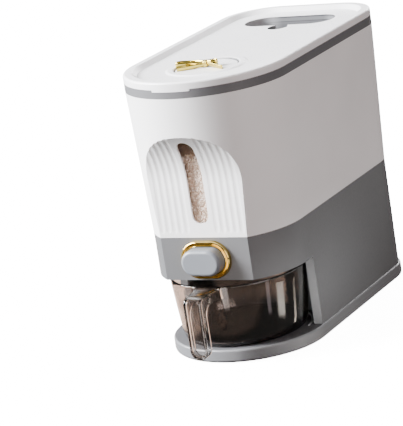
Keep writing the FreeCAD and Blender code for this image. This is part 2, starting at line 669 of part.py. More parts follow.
# gold surround: one thick band with a rounded face
surround = new_body("button_ring_blank")
sk = sketch(surround, "XZ_Plane", "-facet")
slot(sk, "0", "btnz", "27.3", "19.6")
pad(surround, sk, "4.6")
doc.recompute()
dress(surround, "PartDesign::Fillet", "2.9", edges_y(surround, num("facet-4.6")), "outer_edge")
ring_bore = new_body("button_ring_bore")
sk = sketch(ring_bore, "XZ_Plane", "-facet-0")
slot(sk, "0", "btnz", "btnw/2+0.5", "btnh/2+0.5")
pad(ring_bore, sk, "14")
ring_flare = new_body("button_ring_flare")
sk = sketch(ring_flare, "XZ_Plane", "-(facet-3.4)")
slot(sk, "0", "btnz", "btnw/2+0.5", "btnh/2+0.5")
pad(ring_flare, sk, "1.21")
ring_flare.Tip.TaperAngle = 45
node("button_ring", cut("button_ring", surround, ring_bore, ring_flare))
# ==================================================================== gate
hub = cyl("gate_hub", "4", "-outx+0.5", "pivy", "pivz", "2*outx-1", along="x")
leaf = box("gate_leaf", "-outx+0.5", "outx-0.5", "pivy", "outrear+1.2", "pivz-5.6", "pivz-3.6")
web = box("gate_web", "-outx+0.5", "outx-0.5", "pivy-2", "pivy+2", "pivz-5.6", "pivz-1")
arm = box("gate_arm", "-4", "4", "pivy-armface", "pivy-armface+3", "pivz", "pivz+17.5")
gate_bore = cyl("gate_bore", "pinr+runfit", "-40", "pivy", "pivz", "80", along="x")
node("gate_flap", cut("gate_flap", fuse("gate_blank", hub, leaf, web, arm), gate_bore))
node("gate_pin", cyl("gate_pin", "pinr", "-32.5", "pivy", "pivz", "65", along="x"))


def coil(axis_point, axis, radius, wire_r, length, turns):
    """Closely spaced turns of round wire, joined along one side."""
    rings = []
    for i in range(turns + 1):
        rings.append(Part.makeTorus(radius, wire_r, V(0, 0, length * i / turns)))
    spine = Part.makeCylinder(wire_r * 0.7, length, V(radius, 0, 0))
    solid = spine.fuse(rings)
    solid.Placement = FreeCAD.Placement(axis_point, ROT(V(0, 0, 1), axis))
    return solid


y0, y1 = num("btnface+9.5"), num("facet+wall+14.4")
node("button_spring", feature("button_spring", coil(V(0, y0 + 0.6, num("btnz")), V(0, 1, 0), 5.4, 0.5, y1 - y0 - 1.2, 6)))
x0 = num("outx-0.5")
sp = coil(V(x0 + 0.55, num("pivy"), num("pivz")), V(1, 0, 0), 2.6, 0.35, 1.5, 2)
node("gate_spring", feature("gate_spring", sp))

# ===================================================================== cup
cup = new_body("cup_bowl")
sk = sketch(cup, "XZ_Plane", "-cupy")
polygon(sk, [("0", "cupbot"), ("cuprbot", "cupbot"), ("cuprtop", "cuptop"), ("cuprtop-cupwall", "cuptop"),
             ("cuprbot-cupwall", "cupbot+2.6"), ("0", "cupbot+2.6")])
revolve(cup, sk)
doc.recompute()
dress(cup, "PartDesign::Fillet", "5", edges_at(cup, num("cupbot")), "foot_edge")
dress(cup, "PartDesign::Fillet", "3", edges_at(cup, num("cupbot+2.6")), "floor_edge")
dress(cup, "PartDesign::Fillet", "0.8", edges_at(cup, num("cuptop")), "rim")
HF = "-179.7"                     # front of the handle
grip = new_body("handle_bar")
sk = sketch(grip, "XZ_Plane", "-(%s+10.5)" % HF)
slot(sk, "0", "(17.5+cuptop+8)/2", "(cuptop+8-17.5)/2", "10", along="z")
pad(grip, sk, "10.5")
grip_in = new_body("handle_channel")
sk = sketch(grip_in, "XZ_Plane", "-(%s+15)" % HF)
slot(sk, "0", "(20+cuptop+8)/2", "(cuptop+8-20)/2", "7.5", along="z")
pad(grip_in, sk, "12.6")
bridge = new_body("handle_bridge")
sk = sketch(bridge, "XY_Plane", "cuptop-15")
polygon(sk, [("-10", HF), ("10", HF), ("10", "%s+10.5" % HF), ("16.5", "cupy-cuprtop+8"), ("-16.5", "cupy-cuprtop+8"),
             ("-10", "%s+10.5" % HF)])
pad(bridge, sk, "15")
bridge_in = new_body("handle_bridge_channel")
sk = sketch(bridge_in, "XY_Plane", "cuptop-16")
polygon(sk, [("-7.5", "%s+2.4" % HF), ("7.5", "%s+2.4" % HF), ("7.5", "%s+10.5" % HF), ("14", "cupy-cuprtop+9"),
             ("-14", "cupy-cuprtop+9"), ("-7.5", "%s+10.5" % HF)])
pad(bridge_in, sk, "16")
# rounded shoulder where the handle turns down
corner = cut("handle_corner", box("handle_corner_block", "-30", "30", "%s-1" % HF, "%s+9" % HF, "cuptop-9", "cuptop+1"),
             cyl("handle_corner_round", "9", "-30", "%s+9" % HF, "cuptop-9", "60", along="x"))
corner_in = cut("handle_corner_in", box("handle_corner_in_block", "-30", "30", "%s-1" % HF, "%s+9" % HF, "cuptop-9", "cuptop+1"),
                cyl("handle_corner_in_round", "6.8", "-30", "%s+9" % HF, "cuptop-9", "60", along="x"))
hollow_h = common("handle_hollow", cut("handle_hollow_round", fuse("handle_hollow_all", grip_in, bridge_in), corner_in),
                  box("handle_hollow_keep", "-30", "30", "-200", "-100", "10", "cuptop-1.8"))
cup_core = new_body("cup_inside")
sk = sketch(cup_core, "XZ_Plane", "-cupy")
polygon(sk, [("0", "cupbot+5"), ("cuprbot-cupwall/2", "cupbot+5"), ("cuprtop-cupwall/2", "cuptop+20"), ("0", "cuptop+20")])
revolve(cup_core, sk)
top_trim = box("handle_top_trim", "-40", "40", "-200", "-100", "cuptop", "cuptop+30")
handle = cut("cup_handle", fuse("handle_blank", grip, bridge), hollow_h, corner, top_trim, cup_core)
node("measuring_cup", fuse("measuring_cup", cup, handle))

# ===================================================================== lid
lid = new_body("lid_blank")
sk = sketch(lid, "XY_Plane", "coltop")
dring(sk, "half", "arcy", "rear", "rcor")
pad(lid, sk, "lidtop-coltop")
doc.recompute()
dress(lid, "PartDesign::Fillet", "2.3", edges_at(lid, num("lidtop")), "crown")
dish = dprism("lid_dish", "half-9", "arcy", "rear-9", "rcor-9", "panel", "lidtop+0.001",
              taper="-atan(5/(lidtop-panel))", from_top=True)
under = dprism("lid_under", "half-9.6", "arcy", "rear-9.6", "rcor-9.6", "coltop-1", "panel-2.4")
skirt = cut("lid_skirt",
            dprism("lid_skirt_out", "half-7.4", "arcy", "rear-7.4", "rcor-7.4", "coltop-8", "coltop+0.4"),
            dprism("lid_skirt_in", "half-9.4", "arcy", "rear-9.4", "rcor-9.4", "coltop-9", "coltop+0.5"))
groove = cut("lid_groove",
             dprism("lid_groove_out", "half-7", "arcy", "rear-7", "rcor-7", "coltop-5.3", "coltop-2.8"),
             dprism("lid_groove_in", "half-8.5", "arcy", "rear-8.5", "rcor-8.5", "coltop-6", "coltop-2"))
tub = new_body("well_tub")
sk = sketch(tub, "XY_Plane", "panel-welldeep-2")
slot(sk, "0", "welly", "wellhalf+2", "wellrad+2")
pad(tub, sk, "welldeep+2-0.5")
well = new_body("well_hole")
sk = sketch(well, "XY_Plane", "panel-welldeep")
slot(sk, "0", "welly", "wellhalf", "wellrad")
pad(well, sk, "welldeep+6")
boss = cyl("cap_boss", "40", "0", "capy", "capseat-3", "panel-capseat+2.5")
cap_hole = cyl("cap_hole", "30", "0", "capy", "capseat-5", "20")
cap_bore = cyl("cap_counterbore", "caprad+1", "0", "capy", "capseat", "20")
notch = doc.addObject("Part::Cylinder", "thumb_notch")
notch.Placement = FreeCAD.Placement(V(0, 0, 0), ROT(V(1, 0, 0), -14))
bind(notch, Radius="11", Height="10", Placement__Base__y="welly-wellrad-9.4", Placement__Base__z="panel-2.9")
notch_pad = cyl("thumb_pad", "13.5", "0", "welly-wellrad-9.4", "panel-7.6", "7")
tab = common("lid_tab", box("lid_tab_block", "-20.5", "20.5", "-170", "-150", "coltop-2", "coltop+0.5"),
             dprism("lid_tab_plan", "half", "arcy", "rear", "rcor", "coltop-4", "coltop+2"))
lid_shell = cut("lid_shell", lid, dish, under)
node("lid_panel", cut("lid_panel", fuse("lid_joined", lid_shell, skirt, tub, boss, notch_pad, tab), notch, well, cap_hole, cap_bore, groove))
node("lid_gasket", cut("lid_gasket",
                       dprism("gasket_out", "half-6.7", "arcy", "rear-6.7", "rcor-6.7", "coltop-5.3", "coltop-2.8"),
                       dprism("gasket_in", "half-8.5", "arcy", "rear-8.5", "rcor-8.5", "coltop-6", "coltop-2")))


def turned(name, pts, tag="turn"):
    """Solid of revolution about the cap's axis, from radius-height points."""
    b = new_body(name)
    sk = sketch(b, "XZ_Plane", "-capy")
    polygon(sk, pts)
    revolve(b, sk)
    return b


node("cap_bezel", turned("cap_bezel", [("caprad+1.3", "panel"), ("caprad+1.3", "panel+0.7"), ("caprad+2.3", "panel+1.1"),
                                       ("caprad+7", "panel+1.1"), ("caprad+9.5", "panel")]))
basket = turned("basket_blank", [("0", "capseat-34"), ("29.6", "capseat-34"), ("29.6", "capseat"), ("caprad+0.6", "capseat"),
                                 ("caprad+0.6", "capgap-0.2"), ("27.8", "capgap-0.2"), ("27.8", "capseat-32"), ("0", "capseat-32")])
vents = []
for i in range(6):
    o = doc.addObject("Part::Box", "basket_vent%d" % i)
    a = math.radians(30.0 * i)
    o.Length, o.Width = 64.0, 3.0
    bind(o, Height="18")
    base = V(0, num("capy"), 0) + ROT(V(0, 0, 1), 30.0 * i).multVec(V(-32, -1.5, 0))
    o.Placement = FreeCAD.Placement(V(base.x, base.y, 0), ROT(V(0, 0, 1), 30.0 * i))
    bind(o, Placement__Base__z="capseat-28")
    vents.append(o)
node("desiccant_basket", cut("desiccant_basket", basket, fuse("basket_vents", *vents)))
node("vent_cap", turned("vent_cap", [("1.6", "capgap"), ("25.4", "capgap"), ("25.4", "capgap-7"), ("27.2", "capgap-7"),
                                     ("27.2", "capgap-5"), ("26.6", "capgap-5"), ("26.6", "capgap-3"), ("27.2", "capgap-3"),
                                     ("27.2", "capgap"), ("caprad-0.4", "capgap"), ("caprad", "capgap+0.4"), ("caprad", "captop-0.8"),
                                     ("caprad-0.8", "captop"), ("1.6", "captop")]))
node("cap_seal", turned("cap_seal", [("26.6", "capgap-5"), ("27.5", "capgap-5"), ("27.5", "capgap-3"), ("26.6", "capgap-3")]))

# ===================================================================== bow
BOWZ = num("captop") + 4.0


def teardrop(d, r, grow):
    """Flat outline: two straight runs from a point to a round end."""
    rr = r + grow
    apex = V(1.0 - grow, 0, 0)
    far = 1.0 + d
    dist = far - apex.x
    al = math.asin(rr / dist)
    t1 = V(far - rr * math.sin(al), rr * math.cos(al), 0)
    t2 = V(t1.x, -t1.y, 0)
    return Part.Wire([Part.LineSegment(apex, t1).toShape(), Part.Arc(t1, V(far + rr, 0, 0), t2).toShape(),
                      Part.LineSegment(t2, apex).toShape()])


def loop_tube(side, tilt, d, r):
    """Ribbon loop, cut from flat stock and tilted a little."""
    band = Part.Face(teardrop(d, r, 0.9)).extrude(V(0, 0, 5.6))
    hole = Part.Face(teardrop(d, r, -0.9)).extrude(V(0, 0, 7.6))
    hole.translate(V(0, 0, -1))
    band = band.cut(hole)
    band.translate(V(0, 0, -2.8))
    band.Placement = FreeCAD.Placement(V(0, num("capy"), BOWZ), ROT(V(0, 1, 0), tilt)).multiply(
        FreeCAD.Placement(V(0, 0, 0), ROT(V(0, 0, 1), 0 if side > 0 else 180)).multiply(band.Placement))
    return band


def tail(angle, length):
    a = math.radians(angle)
    d = V(math.cos(a), math.sin(a), -0.03)
    d.normalize()
    o = V(0, num("capy"), BOWZ - 1.0)
    return Part.makeCylinder(1.8, length, o, d)


loops = loop_tube(-1, 0.0, 25.5, 4.2).fuse([loop_tube(1, -12.0, 11.5, 3.9), tail(-31, 29.5), tail(-147, 29.0)])
knot = Part.makeSphere(4.6, V(0, num("capy"), num("captop") + 4.8))
post = Part.makeCylinder(3.4, 5.0, V(0, num("capy"), num("captop")))
screw_hole = Part.makeCylinder(1.5, 8.0, V(0, num("capy"), num("captop") - 2))
knot_solid = knot.common(Part.makeBox(40, 40, 30, V(-20, num("capy") - 20, num("captop")))).fuse(post)
node("bow_knot", feature("bow_knot", knot_solid.cut(screw_hole)))
node("bow_loops", feature("bow_loops", loops.cut(knot_solid)))
bs_head = cyl("bow_screw_head", "3.1", "0", "capy", "capgap-2", "2")
bs_shank = cyl("bow_screw_shank", "1.5", "0", "capy", "capgap-1", "captop-capgap+6")
node("bow_screw", fuse("bow_screw", bs_head, bs_shank))

# ================================================================ hardware
feet = [cyl("foot%d" % i, "9", x, y, "0", "foot+1.6") for i, (x, y) in enumerate(FEET)]
node("rubber_feet", fuse("rubber_feet", *feet))
screws = []
for i, (x, y) in enumerate(SCREWS):
    screws += [cyl("base_screw_head%d" % i, "3.6", x, y, "foot+2.4", "2.6"),
               cyl("base_screw_shank%d" % i, "1.5", x, y, "foot+4", "28")]
node("base_screws", fuse("base_screws", *screws))
cs = []
for i, (x, y) in enumerate(CH_SCREWS):
    cs += [cyl("chute_screw_head%d" % i, "2.6", x, y, "bandlow+wall+2.2", "1.8"),
           cyl("chute_screw_shank%d" % i, "1.3", x, y, "bandlow+0.6", "wall+3")]
node("chute_screws", fuse("chute_screws", *cs))

# ================================================================== output
doc.recompute()
for o in doc.Objects:
    if "Invalid" in o.State or "Error" in o.State:
        raise RuntimeError("%s failed: %s" % (o.Name, o.getStatusString()))
for label, o in NODES.items():
    if o.Shape.isNull() or not o.Shape.isValid() or not o.Shape.Solids:
        raise RuntimeError("%s has no valid solid" % label)
for label, o in NODES.items():
    o.Shape.exportStep("parts/%s.step" % label)
    print("%-18s solids %d volume %.0f mm3" % (label, len(o.Shape.Solids), o.Shape.Volume))
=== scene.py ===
"""Looks of the rice dispenser: materials, finer meshes, light and camera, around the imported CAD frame."""

import json
import math
import random

import bmesh
import bpy
import numpy as np
from mathutils import Matrix, Vector

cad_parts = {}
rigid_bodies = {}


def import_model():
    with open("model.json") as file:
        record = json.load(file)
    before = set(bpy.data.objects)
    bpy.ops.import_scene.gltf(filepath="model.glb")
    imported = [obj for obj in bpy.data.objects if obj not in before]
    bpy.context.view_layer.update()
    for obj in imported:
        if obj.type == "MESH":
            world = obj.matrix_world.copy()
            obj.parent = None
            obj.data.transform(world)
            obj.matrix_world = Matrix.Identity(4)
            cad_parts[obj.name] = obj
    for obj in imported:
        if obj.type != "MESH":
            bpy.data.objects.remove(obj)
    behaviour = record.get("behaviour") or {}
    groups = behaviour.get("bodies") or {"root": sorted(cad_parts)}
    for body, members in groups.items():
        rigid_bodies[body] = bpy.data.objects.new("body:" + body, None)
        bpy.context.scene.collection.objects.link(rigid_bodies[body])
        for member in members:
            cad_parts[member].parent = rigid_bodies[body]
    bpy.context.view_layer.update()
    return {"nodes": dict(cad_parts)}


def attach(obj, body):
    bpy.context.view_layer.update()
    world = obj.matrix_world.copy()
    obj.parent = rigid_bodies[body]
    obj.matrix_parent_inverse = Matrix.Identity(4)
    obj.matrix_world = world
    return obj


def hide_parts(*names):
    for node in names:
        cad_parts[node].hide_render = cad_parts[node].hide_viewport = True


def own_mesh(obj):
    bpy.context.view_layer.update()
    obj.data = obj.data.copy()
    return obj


for old in list(bpy.data.objects):
    bpy.data.objects.remove(old)

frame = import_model()
NODES = frame["nodes"]
SCENE = bpy.context.scene
MM = 0.001
FLOOR_GLOW = 14.0
random.seed(7)


# ---------------------------------------------------------------- node helpers
class Graph:
    """Small wrapper to write a node material in a few lines."""

    def __init__(self, name):
        self.mat = bpy.data.materials.new(name)
        self.mat.use_nodes = True
        self.nt = self.mat.node_tree
        self.nt.nodes.clear()
        self.out = self.new("ShaderNodeOutputMaterial")
        self.coord = self.new("ShaderNodeTexCoord")

    def new(self, kind, **values):
        n = self.nt.nodes.new(kind)
        for k, v in values.items():
            setattr(n, k, v)
        return n

    def link(self, a, b):
        self.nt.links.new(a, b)

    def noise(self, scale, detail=3.0, rough=0.5, vector=None, dist=0.0):
        n = self.new("ShaderNodeTexNoise")
        n.inputs["Scale"].default_value = scale
        n.inputs["Detail"].default_value = detail
        n.inputs["Roughness"].default_value = rough
        n.inputs["Distortion"].default_value = dist
        self.link(vector or self.coord.outputs["Object"], n.inputs["Vector"])
        return n.outputs["Fac"]

    def scaled(self, x, y, z):
        n = self.new("ShaderNodeMapping")
        n.inputs["Scale"].default_value = (x, y, z)
        self.link(self.coord.outputs["Object"], n.inputs["Vector"])
        return n.outputs["Vector"]

    def remap(self, value, lo, hi, a=0.3, b=0.7):
        n = self.new("ShaderNodeMapRange")
        n.inputs["From Min"].default_value = a
        n.inputs["From Max"].default_value = b
        n.inputs["To Min"].default_value = lo
        n.inputs["To Max"].default_value = hi
        self.link(value, n.inputs["Value"])
        return n.outputs["Result"]

    def ramp(self, value, stops):
        n = self.new("ShaderNodeValToRGB")
        els = n.color_ramp.elements
        while len(els) < len(stops):
            els.new(0.5)
        for e, (p, c) in zip(els, stops):
            e.position = p
            e.color = (*c, 1.0)
        self.link(value, n.inputs["Fac"])
        return n.outputs["Color"]

    def bump(self, height, strength, distance, normal=None):
        n = self.new("ShaderNodeBump")
        n.inputs["Strength"].default_value = strength
        n.inputs["Distance"].default_value = distance
        self.link(height, n.inputs["Height"])
        if normal is not None:
            self.link(normal, n.inputs["Normal"])
        return n.outputs["Normal"]

    def principled(self, **values):
        n = self.new("ShaderNodeBsdfPrincipled")
        for k, v in values.items():
            n.inputs[k.replace("_", " ")].default_value = v
        self.link(n.outputs["BSDF"], self.out.inputs["Surface"])
        return n


def lin(r, g, b):
    """sRGB 0-255 to linear."""
    return tuple(((c / 255 + 0.055) / 1.055) ** 2.4 if c > 10 else c / 255 / 12.92 for c in (r, g, b))


def plastic(name, rgb, rough=0.42, grain=3200.0, grain_depth=0.035, vary=0.03, spec=0.5, coat=0.0, sss=0.0, **more):
    """Moulded plastic: fine spark-eroded grain, slow colour drift and uneven gloss."""
    g = Graph(name)
    b = g.principled(IOR=1.5, **more)
    b.inputs["Specular IOR Level"].default_value = spec
    b.inputs["Coat Weight"].default_value = coat
    b.inputs["Coat Roughness"].default_value = 0.15
    if sss:
        b.inputs["Subsurface Weight"].default_value = sss
        b.inputs["Subsurface Radius"].default_value = (1.0, 0.9, 0.85)
        b.inputs["Subsurface Scale"].default_value = 0.004
    drift = g.noise(11.0, 2.0)
    lo = tuple(c * (1 - vary) for c in rgb)
    hi = tuple(min(1.0, c * (1 + vary)) for c in rgb)
    g.link(g.ramp(drift, ((0.3, lo), (0.7, hi))), b.inputs["Base Color"])
    fine = g.noise(420.0, 4.0, 0.6)
    g.link(g.remap(fine, rough - 0.04, rough + 0.05), b.inputs["Roughness"])
    tiny = g.noise(grain, 2.0, 0.5)
    g.link(g.bump(tiny, 0.25, grain_depth * MM), b.inputs["Normal"])
    return g.mat


WHITE = plastic("hopper_white", (0.85, 0.85, 0.855), rough=0.40, sss=0.08)
LID = plastic("lid_white_satin", (0.84, 0.84, 0.855), rough=0.30, sss=0.08)
GREY = plastic("housing_grey_satin", (0.099, 0.102, 0.107), rough=0.43)
PLATE = plastic("plate_grey_satin", (0.142, 0.147, 0.155), rough=0.38)
COLLAR = plastic("collar_dark_grey", (0.095, 0.097, 0.103), rough=0.50)
BUTTON = plastic("button_blue_grey", (0.152, 0.165, 0.184), rough=0.36)
# the deck's darker colour is painted shade; its coarser grain is real
DECK_PAINTED_SHADE = plastic("deck_textured_painted_shade", (0.072, 0.074, 0.079), rough=0.6, grain=2200.0, grain_depth=0.06, spec=0.3)
LINER = plastic("bay_dark", (0.024, 0.026, 0.026), rough=0.5)
INNER = plastic("inner_grey", (0.22, 0.23, 0.24), rough=0.5)


def metal(name, rgb, rough, grain=900.0, depth=0.01, scratch=0.0):
    g = Graph(name)
    b = g.principled(Metallic=1.0)
    drift = g.noise(60.0, 2.0)
    lo = tuple(c * 0.93 for c in rgb)
    g.link(g.ramp(drift, ((0.3, lo), (0.7, rgb))), b.inputs["Base Color"])
    fine = g.noise(grain, 4.0, 0.6)
    g.link(g.remap(fine, max(0.02, rough - 0.03), rough + 0.05), b.inputs["Roughness"])
    g.link(g.bump(g.noise(grain * 1.7, 2.0), 0.15, depth * MM), b.inputs["Normal"])
    return g.mat


GOLD = metal("gold_plated", (0.68, 0.50, 0.165), 0.09)
GOLD_BOW = metal("gold_ribbon", (0.55, 0.43, 0.095), 0.10)
STEEL = metal("zinc_steel", (0.62, 0.62, 0.63), 0.28)
SPRING = metal("spring_wire", (0.50, 0.50, 0.52), 0.22)


def rubber(name, rgb, rough=0.8):
    return plastic(name, rgb, rough=rough, grain=1800.0, grain_depth=0.06, spec=0.3)


RUBBER = rubber("foot_rubber", (0.03, 0.03, 0.032))
SILICONE = rubber("seal_silicone", (0.62, 0.63, 0.64), 0.55)


def smoked(name, rgb, rough=0.03, painted_reflection=None):
    g = Graph(name)
    b = g.principled(IOR=1.56)
    b.inputs["Transmission Weight"].default_value = 1.0
    drift = g.noise(24.0, 2.0)
    lo = tuple(c * 0.92 for c in rgb)
    # the optional third stop is a warm patch of painted reflection
    stops = ((0.3, lo), (0.7, rgb)) if painted_reflection is None else ((0.3, lo), (0.50, rgb), (0.66, painted_reflection))
    g.link(g.ramp(drift, stops), b.inputs["Base Color"])
    g.link(g.remap(g.noise(160.0, 3.0), rough, rough + 0.03), b.inputs["Roughness"])
    g.link(g.bump(g.noise(55.0, 2.0), 0.12, 0.05 * MM), b.inputs["Normal"])
    return g.mat


SMOKE = smoked("smoked_clear", (0.745, 0.71, 0.685))
# cup floor: a tint much darker than the walls as painted shade under the cup, with warm patches as painted reflection
SMOKE_FLOOR_PAINTED_SHADE = smoked("smoked_floor_painted_shade_reflection", (0.10, 0.094, 0.09), painted_reflection=(0.27, 0.18, 0.15))


def clear(name):
    g = Graph(name)
    b = g.principled(IOR=1.5)
    b.inputs["Alpha"].default_value = 0.085
    # the brown tint is partly painted shade of the hopper's inside and partly rice dust
    b.inputs["Base Color"].default_value = (0.78, 0.48, 0.31, 1)
    g.link(g.remap(g.noise(160.0, 3.0), 0.05, 0.09), b.inputs["Roughness"])
    return g.mat


LENS = clear("lens_clear")

FINISH = {
    "base_plate": PLATE, "base_screws": STEEL, "bay_liner": LINER, "bow_knot": GOLD, "bow_loops": GOLD,
    "bow_screw": STEEL, "button_cap": BUTTON, "button_guide": INNER, "button_ring": GOLD,
    "button_spring": SPRING, "button_stem": INNER, "cap_bezel": LID, "cap_seal": SILICONE,
    "chute_screws": STEEL, "collar_ring": COLLAR, "desiccant_basket": WHITE, "gate_flap": INNER,
    "gate_pin": STEEL, "gate_spring": SPRING, "hopper_funnel": WHITE, "hopper_shell": WHITE,
    "housing_shell": GREY, "lid_gasket": SILICONE, "lid_panel": LID, "measuring_cup": SMOKE,
    "outlet_chute": INNER, "rubber_feet": RUBBER, "seam_frame": WHITE, "vent_cap": LID, "window_lens": LENS,
}
for name, o in NODES.items():
    o.data.materials.clear()
    o.data.materials.append(FINISH[name])

# the tray's upper face is coarser than its rim and painted a little darker: painted shade from the cup and housing
# above
plate = NODES["base_plate"]
plate.data.materials.append(DECK_PAINTED_SHADE)
for p in plate.data.polygons:
    if p.normal.z > 0.95 and 14.0 < p.center.z * 1000 < 16.2:
        p.material_index = 1

# painted shade in the gap round the cap: near white on the left, dark grey towards the right, away from the key light
g = Graph("cap_gap_painted_shade")
b = g.principled(Roughness=0.5, IOR=1.5)
sep = g.new("ShaderNodeSeparateXYZ")
g.link(g.coord.outputs["Object"], sep.inputs["Vector"])
g.link(g.ramp(g.remap(sep.outputs["X"], 0.0, 1.0, -0.015, 0.012), ((0.0, (0.80, 0.80, 0.81)), (1.0, (0.12, 0.122, 0.127)))),
       b.inputs["Base Color"])
g.link(g.bump(g.noise(2600.0, 2.0), 0.2, 0.03 * MM), b.inputs["Normal"])
GAP_PAINTED_SHADE = g.mat
for name in ("vent_cap", "cap_bezel", "lid_panel"):
    o = NODES[name]
    o.data.materials.append(GAP_PAINTED_SHADE)
    for p in o.data.polygons:
        c = p.center * 1000
        r = math.hypot(c.x, c.y + 75.5)
        if 31.25 < r < 33.6 and c.z > 286:
            p.material_index = 1

# finger well of the lid: grey lining with a darker lip and a step line, with painted light making it lighter towards
# its left end
g = Graph("well_grey_painted_light")
b = g.principled(Roughness=0.42, IOR=1.5)
sep = g.new("ShaderNodeSeparateXYZ")
g.link(g.coord.outputs["Object"], sep.inputs["Vector"])
lid = NODES["lid_panel"]
to_local = lid.matrix_world.inverted()
height = g.remap(sep.outputs["Z"], 0.0, 1.0, (to_local @ Vector((0, 0, 0.2750))).z, (to_local @ Vector((0, 0, 0.2896))).z)
tone = g.ramp(height, ((0.0, (0.07, 0.072, 0.076)), (0.40, (0.085, 0.088, 0.094)), (0.56, (0.105, 0.108, 0.116)),
                       (0.60, (0.040, 0.041, 0.044)), (0.63, (0.040, 0.041, 0.044)), (0.66, (0.13, 0.134, 0.142)),
                       (0.88, (0.12, 0.124, 0.132)), (0.92, (0.038, 0.039, 0.042))))
# painted light: the lining turns lighter towards the left end, where the key light leaves it in shadow
left_end_painted_light = g.new("ShaderNodeMix", data_type="RGBA")
g.link(g.remap(sep.outputs["X"], 1.0, 0.0, -0.048, -0.020), left_end_painted_light.inputs[0])
g.link(tone, left_end_painted_light.inputs[6])
left_end_painted_light.inputs[7].default_value = (0.36, 0.365, 0.38, 1)
g.link(left_end_painted_light.outputs[2], b.inputs["Base Color"])
g.link(g.bump(g.noise(2600.0, 2.0), 0.2, 0.03 * MM), b.inputs["Normal"])
lid.data.materials.append(g.mat)
inv = lid.matrix_world
for p in lid.data.polygons:
    c = (inv @ p.center) * 1000
    dx = max(0.0, abs(c.x) - 30.0)
    if 274.0 < c.z < 289.45 and math.hypot(dx, c.y - 120.5) < 21.6 and abs(c.x) < 52:
        p.material_index = 2

# thumb notch at the well's front edge, with painted shade on its left
g = Graph("notch_painted_shade")
b = g.principled(Roughness=0.45, IOR=1.5)
sep = g.new("ShaderNodeSeparateXYZ")
g.link(g.coord.outputs["Object"], sep.inputs["Vector"])
g.link(g.ramp(g.remap(sep.outputs["X"], 0.0, 1.0, -0.011, 0.011), ((0.0, (0.035, 0.036, 0.039)), (0.42, (0.06, 0.062, 0.067)),
                                                                  (0.62, (0.34, 0.345, 0.36)), (0.95, (0.62, 0.625, 0.64)))),
       b.inputs["Base Color"])
g.link(g.bump(g.noise(2600.0, 2.0), 0.2, 0.03 * MM), b.inputs["Normal"])
lid.data.materials.append(g.mat)
for p in lid.data.polygons:
    c = p.center * 1000
    if 280.0 < c.z < 289.45 and math.hypot(c.x, c.y - 90.1) < 11.4 and c.y < 99.0:
        p.material_index = 3

# ---------------------------------------------------------------- mesh helpers (sizes in mm)
def mesh_object(name, verts, faces, material=None, smooth=True):
    me = bpy.data.meshes.new(name)
    me.from_pydata([tuple(float(c) for c in v) for v in verts], [], [tuple(int(i) for i in f) for f in faces])
    me.update()
    o = bpy.data.objects.new(name, me)
    SCENE.collection.objects.link(o)
    if material is not None:
        me.materials.append(material)
    if smooth:
        for p in me.polygons:
            p.use_smooth = True
    return o


def solid(name, verts, faces, material, sharp=None):
    """Closed mesh from millimetre vertices, faces turned outwards."""
    o = mesh_object(name, np.asarray(verts, float) * MM, faces, material)
    bm = bmesh.new()
    bm.from_mesh(o.data)
    bmesh.ops.remove_doubles(bm, verts=bm.verts, dist=1e-6)
    bmesh.ops.recalc_face_normals(bm, faces=bm.faces)
    bm.to_mesh(o.data)
    bm.free()
    for p in o.data.polygons:
        p.use_smooth = True
    if sharp is not None:
        o.data.set_sharp_from_angle(angle=math.radians(sharp))
    return o


def smax(a, b, k):
    h = np.maximum(k - np.abs(a - b), 0) / k
    return np.maximum(a, b) + h * h * k * 0.25


def smin(a, b, k):
    return -smax(-a, -b, k)


def nets(fn, lo, hi, step):
    """Quads on the zero surface of fn, which is negative inside."""
    n = [int(math.ceil((b - a) / step)) + 2 for a, b in zip(lo, hi)]
    axes = [a + step * np.arange(k) for a, k in zip(lo, n)]
    v = fn(*np.meshgrid(*axes, indexing="ij"))
    s = v < 0
    cells = [k - 1 for k in n]

    def corner(arr, o):
        return arr[o[0]:o[0] + cells[0], o[1]:o[1] + cells[1], o[2]:o[2] + cells[2]]

    corners = [(i, j, k) for i in (0, 1) for j in (0, 1) for k in (0, 1)]
    count = sum(corner(s, c).astype(np.int8) for c in corners)
    active = (count > 0) & (count < 8)
    index = np.full(cells, -1, int)
    index[active] = np.arange(active.sum())
    base = np.argwhere(active).astype(float)
    acc, hits = np.zeros_like(base), np.zeros(len(base))
    for c in corners:
        for d in range(3):
            if c[d]:
                continue
            e = tuple(c[m] + (1 if m == d else 0) for m in range(3))
            va, vb = corner(v, c)[active], corner(v, e)[active]
            cross = (va < 0) != (vb < 0)
            t = np.zeros_like(va)
            t[cross] = va[cross] / (va[cross] - vb[cross])
            pt = base + np.array(c, float)
            pt[:, d] += t
            acc[cross] += pt[cross]
            hits[cross] += 1
    pts = acc / hits[:, None] * step + np.array(lo, float)
    for _ in range(4):
        f = fn(*pts.T)
        grad = np.stack([(fn(*(pts + h).T) - fn(*(pts - h).T)) / 0.04 for h in np.eye(3) * 0.02], 1)
        g2 = np.maximum((grad ** 2).sum(1), 0.2)
        move = -(f / g2)[:, None] * grad
        size = np.linalg.norm(move, axis=1, keepdims=True)
        pts = pts + move * np.minimum(1.0, 0.5 * step / np.maximum(size, 1e-9))
    quads = []
    for d in range(3):
        d1, d2 = (d + 1) % 3, (d + 2) % 3
        a = [slice(1, k - 1) for k in n]
        b = list(a)
        a[d], b[d] = slice(0, n[d] - 1), slice(1, n[d])
        sa, sb = s[tuple(a)], s[tuple(b)]
        where = np.argwhere(sa != sb)
        inside = sa[tuple(where.T)]
        cell = where.copy()
        cell[:, d1] += 1
        cell[:, d2] += 1
        ring = []
        for o1, o2 in ((-1, -1), (0, -1), (0, 0), (-1, 0)):
            q = cell.copy()
            q[:, d1] += o1
            q[:, d2] += o2
            ring.append(index[tuple(q.T)])
        q = np.stack(ring, 1)
        q[~inside] = q[~inside][:, ::-1]
        quads.append(q)
    return pts, np.concatenate(quads)


